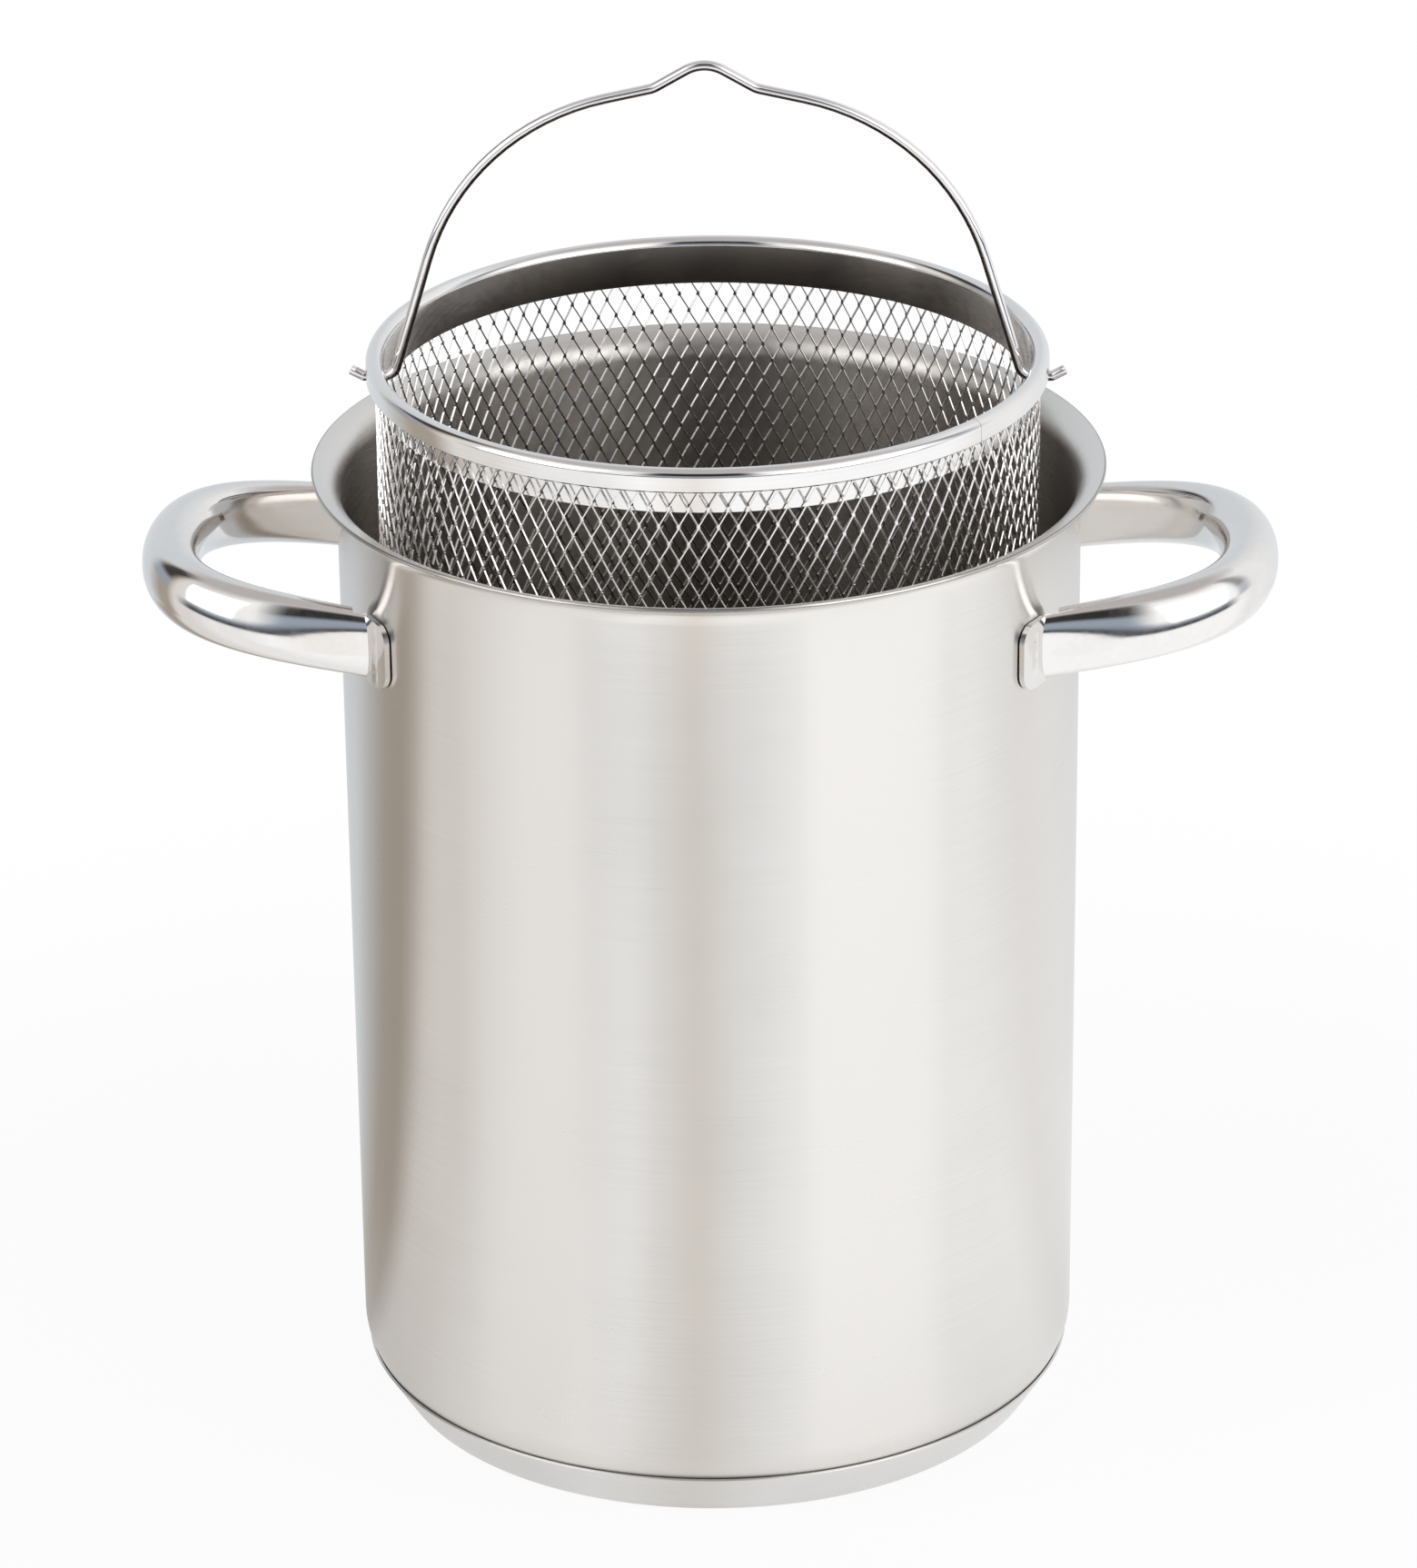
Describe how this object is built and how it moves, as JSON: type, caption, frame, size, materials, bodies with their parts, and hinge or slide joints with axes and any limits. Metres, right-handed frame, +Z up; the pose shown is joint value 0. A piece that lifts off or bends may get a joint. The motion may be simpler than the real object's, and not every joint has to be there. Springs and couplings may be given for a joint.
{
  "type": "asparagus pot",
  "caption": "Tall stainless steamer pot with loop handles, an encapsulated base and a lift-out mesh basket with a folding wire bail.",
  "frame": {"origin": "centre of the underside of the base, on the pot's axis", "axes": "+Z up along the pot's axis, X through the two loop handles and along the bail's hinge line, Y across"},
  "size_m": [0.245, 0.1708, 0.3073],
  "materials": {
    "satin_body": "satin, brushed round the body",
    "satin_base": "satin",
    "core": "plain, hidden inside the base",
    "polished_handle": "polished",
    "polished_rim": "polished",
    "mesh": "bright expanded metal",
    "satin_foot": "satin",
    "wire": "polished wire"
  },
  "bodies": {
    "pot": {"pot_shell": "satin_body", "base_core": "core", "base_cap": "satin_base", "handle_left": "polished_handle", "handle_right": "polished_handle"},
    "basket": {"basket_rim": "polished_rim", "basket_wall": "mesh", "basket_floor": "mesh", "basket_foot": "satin_foot"},
    "bail": {"bail": "wire"}
  },
  "joints": [
    {"name": "basket_lift", "type": "slide", "parent": "pot", "child": "basket", "axis": [0, 0, 1], "range_m": [0, 0.225]},
    {"name": "bail_swing", "type": "hinge", "parent": "basket", "child": "bail", "pos_m": [0, 0, 0.2366], "axis": [1, 0, 0], "range_deg": [-84, 84]}
  ]
}
